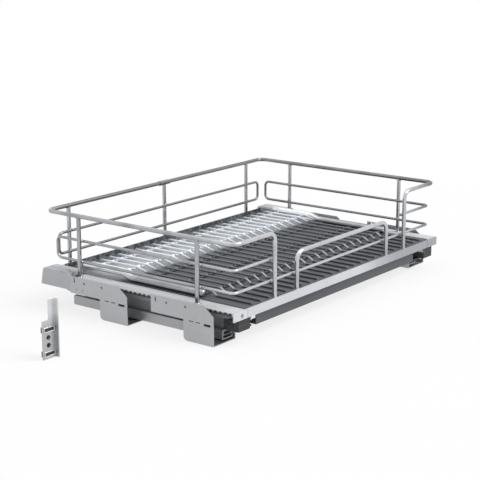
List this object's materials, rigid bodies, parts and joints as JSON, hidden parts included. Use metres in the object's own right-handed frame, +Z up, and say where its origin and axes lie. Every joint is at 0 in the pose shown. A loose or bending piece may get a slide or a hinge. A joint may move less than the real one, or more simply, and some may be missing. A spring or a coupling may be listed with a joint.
{
  "type": "pull-out pot rack",
  "caption": "Wire pot rack on a steel tray that pulls out of a kitchen base unit on telescopic runners with wall brackets, beside a loose front-panel bracket.",
  "frame": {"origin": "on the front bar's front face, 8.5 mm below its top edge and midway along it, where a front panel seats", "axes": "+X to the right seen from the front, +Y to the back of the cabinet, +Z up"},
  "size_m": [0.873, 0.428, 0.1708],
  "materials": {
    "zinc_bracket": "satin zinc-plated sheet",
    "dark_plastic": "matte dark grey moulding",
    "chrome_rod": "bright chrome plating",
    "white_plastic": "plain white moulding",
    "roller_steel": "ground steel",
    "rivet_steel": "plain zinc-plated steel",
    "runner_steel": "zinc-plated rolled sheet",
    "grey_housing": "satin light grey paint",
    "black_rubber": "matte rubber",
    "tray_paint": "satin silver-grey paint",
    "front_paint": "satin silver-grey paint",
    "floor_steel": "bright chrome plating",
    "dark_paint": "matte dark grey paint"
  },
  "bodies": {
    "cabinet_side": {"bracket_left_front": "zinc_bracket", "height_shim_left_front": "dark_plastic", "bracket_left_rear": "zinc_bracket", "height_shim_left_rear": "dark_plastic", "runner_rivets_left": "rivet_steel", "housing_rivets_left": "rivet_steel", "cabinet_rail_left": "runner_steel", "rear_housing_left": "grey_housing", "buffer_left": "black_rubber", "bracket_right_front": "zinc_bracket", "height_shim_right_front": "dark_plastic", "bracket_right_rear": "zinc_bracket", "height_shim_right_rear": "dark_plastic", "runner_rivets_right": "rivet_steel", "housing_rivets_right": "rivet_steel", "cabinet_rail_right": "runner_steel", "rear_housing_right": "grey_housing", "buffer_right": "black_rubber", "front_panel_bracket": "zinc_bracket"},
    "tray": {"side_post_left_front": "chrome_rod", "side_post_left_rear": "chrome_rod", "lever_pin_left": "rivet_steel", "drawer_rail_left": "dark_paint", "side_rail_left": "tray_paint", "front_clip_left": "dark_plastic", "floor_side_tube_left": "floor_steel", "back_post_left": "chrome_rod", "side_post_right_front": "chrome_rod", "side_post_right_rear": "chrome_rod", "lever_pin_right": "rivet_steel", "drawer_rail_right": "dark_paint", "side_rail_right": "tray_paint", "front_clip_right": "dark_plastic", "floor_side_tube_right": "floor_steel", "back_post_right": "chrome_rod", "top_rail": "chrome_rod", "front_guard": "chrome_rod", "back_post_middle": "chrome_rod", "side_wire": "chrome_rod", "back_wire_loop": "chrome_rod", "front_bar": "front_paint", "back_bar": "tray_paint", "front_stiffener": "dark_paint", "floor_panel": "dark_paint", "floor_wires": "floor_steel", "cross_rods": "floor_steel", "frame_screws": "rivet_steel"},
    "cage_left_lower": {"roller_cage_left_lower": "white_plastic", "rollers_left_lower": "roller_steel"},
    "cage_left_upper": {"roller_cage_left_upper": "white_plastic", "rollers_left_upper": "roller_steel"},
    "middle_left": {"middle_rail_left": "dark_paint"},
    "lever_left": {"release_lever_left": "dark_plastic"},
    "cage_right_lower": {"roller_cage_right_lower": "white_plastic", "rollers_right_lower": "roller_steel"},
    "cage_right_upper": {"roller_cage_right_upper": "white_plastic", "rollers_right_upper": "roller_steel"},
    "middle_right": {"middle_rail_right": "dark_paint"},
    "lever_right": {"release_lever_right": "dark_plastic"}
  },
  "joints": [
    {"name": "tray_pull", "type": "slide", "parent": "cabinet_side", "child": "tray", "axis": [0, -1, 0], "range_m": [0, 0.32]},
    {"name": "middle_left_slide", "type": "slide", "parent": "cabinet_side", "child": "middle_left", "axis": [0, -1, 0], "range_m": [0, 0.16]},
    {"name": "cage_left_lower_slide", "type": "slide", "parent": "cabinet_side", "child": "cage_left_lower", "axis": [0, -1, 0], "range_m": [0, 0.08]},
    {"name": "cage_left_upper_slide", "type": "slide", "parent": "cabinet_side", "child": "cage_left_upper", "axis": [0, -1, 0], "range_m": [0, 0.24]},
    {"name": "lever_left_turn", "type": "hinge", "parent": "tray", "child": "lever_left", "pos_m": [-0.292, 0.02, -0.0285], "axis": [0, 0, -1], "range_deg": [0, 15], "stiffness_Nm_per_rad": 0.01},
    {"name": "middle_right_slide", "type": "slide", "parent": "cabinet_side", "child": "middle_right", "axis": [0, -1, 0], "range_m": [0, 0.16]},
    {"name": "cage_right_lower_slide", "type": "slide", "parent": "cabinet_side", "child": "cage_right_lower", "axis": [0, -1, 0], "range_m": [0, 0.08]},
    {"name": "cage_right_upper_slide", "type": "slide", "parent": "cabinet_side", "child": "cage_right_upper", "axis": [0, -1, 0], "range_m": [0, 0.24]},
    {"name": "lever_right_turn", "type": "hinge", "parent": "tray", "child": "lever_right", "pos_m": [0.292, 0.02, -0.0285], "axis": [0, 0, 1], "range_deg": [0, 15], "stiffness_Nm_per_rad": 0.01}
  ],
  "couplings": [
    {"joint": "middle_left_slide", "follows": "tray_pull", "ratio": 0.5},
    {"joint": "cage_left_lower_slide", "follows": "tray_pull", "ratio": 0.25},
    {"joint": "cage_left_upper_slide", "follows": "tray_pull", "ratio": 0.75},
    {"joint": "middle_right_slide", "follows": "tray_pull", "ratio": 0.5},
    {"joint": "cage_right_lower_slide", "follows": "tray_pull", "ratio": 0.25},
    {"joint": "cage_right_upper_slide", "follows": "tray_pull", "ratio": 0.75}
  ]
}
